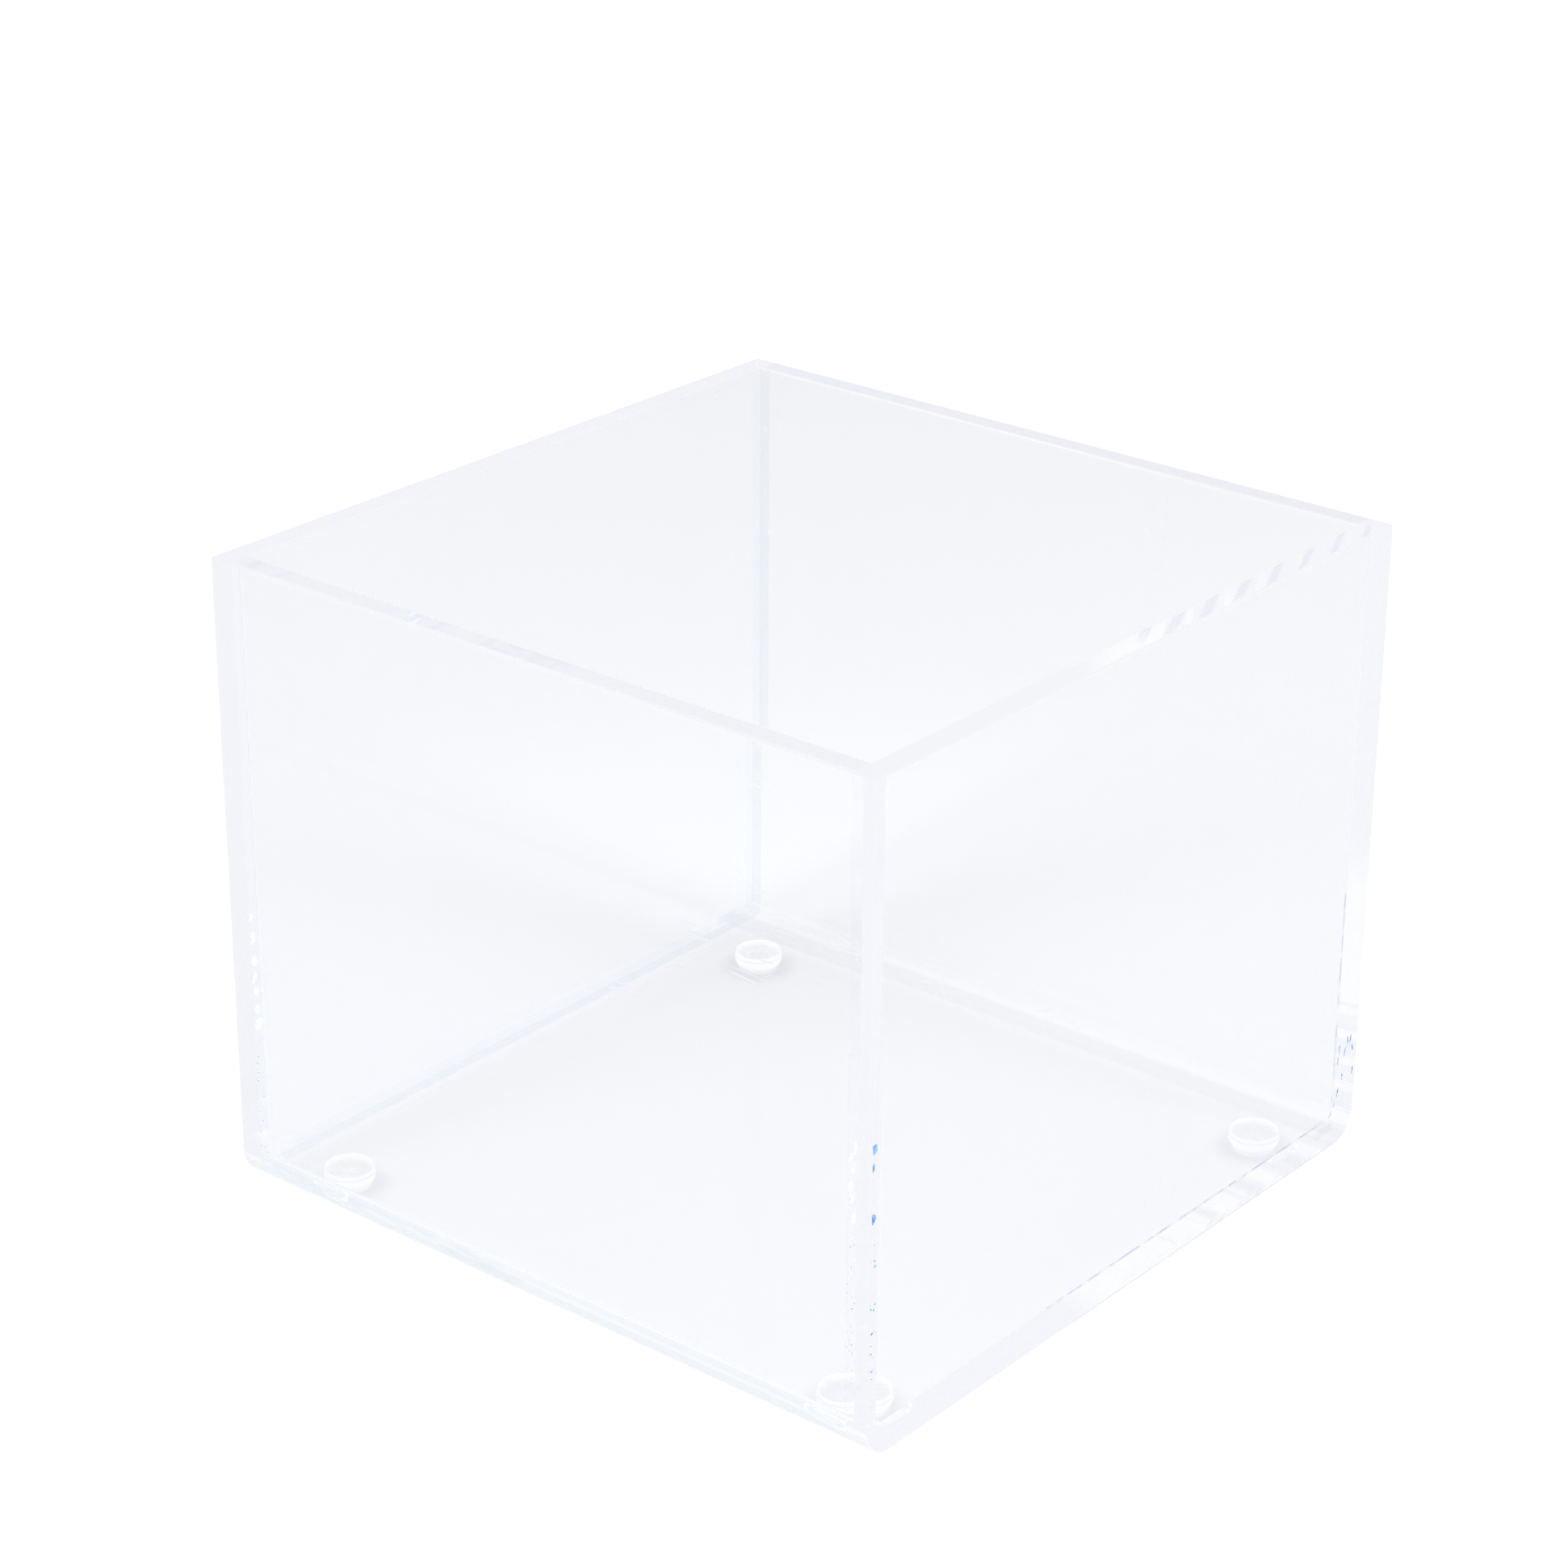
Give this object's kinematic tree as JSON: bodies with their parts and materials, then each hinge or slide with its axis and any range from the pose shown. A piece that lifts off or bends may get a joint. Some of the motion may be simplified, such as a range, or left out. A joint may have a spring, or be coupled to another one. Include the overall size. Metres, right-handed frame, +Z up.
{
  "type": "open storage box",
  "caption": "Open-topped clear acrylic box: a U-bent sheet closed by two flat cemented end panels, standing on small domed feet.",
  "frame": {"origin": "on the surface that the box stands on, under the middle of the floor", "axes": "+X along the two bends, from the left end panel to the right one; +Y from the front wall to the back wall; +Z up, out of the open top"},
  "size_m": [0.1524, 0.1524, 0.1309],
  "materials": {
    "clear_acrylic": "clear polished cast acrylic sheet, faint lavender cast, saw-cut edges scraped",
    "cement_film": "set clear solvent cement, pale blue seen face on, some bubbles",
    "clear_urethane": "clear soft polyurethane, glossy",
    "adhesive_film": "clear acrylic adhesive film, slightly hazy"
  },
  "bodies": {
    "root": {"bent_sheet": "clear_acrylic", "left_end_panel": "clear_acrylic", "right_end_panel": "clear_acrylic", "left_cement_seam": "cement_film", "right_cement_seam": "cement_film", "front_left_foot": "clear_urethane", "front_right_foot": "clear_urethane", "back_left_foot": "clear_urethane", "back_right_foot": "clear_urethane", "front_left_adhesive_pad": "adhesive_film", "front_right_adhesive_pad": "adhesive_film", "back_left_adhesive_pad": "adhesive_film", "back_right_adhesive_pad": "adhesive_film"}
  },
  "joints": []
}
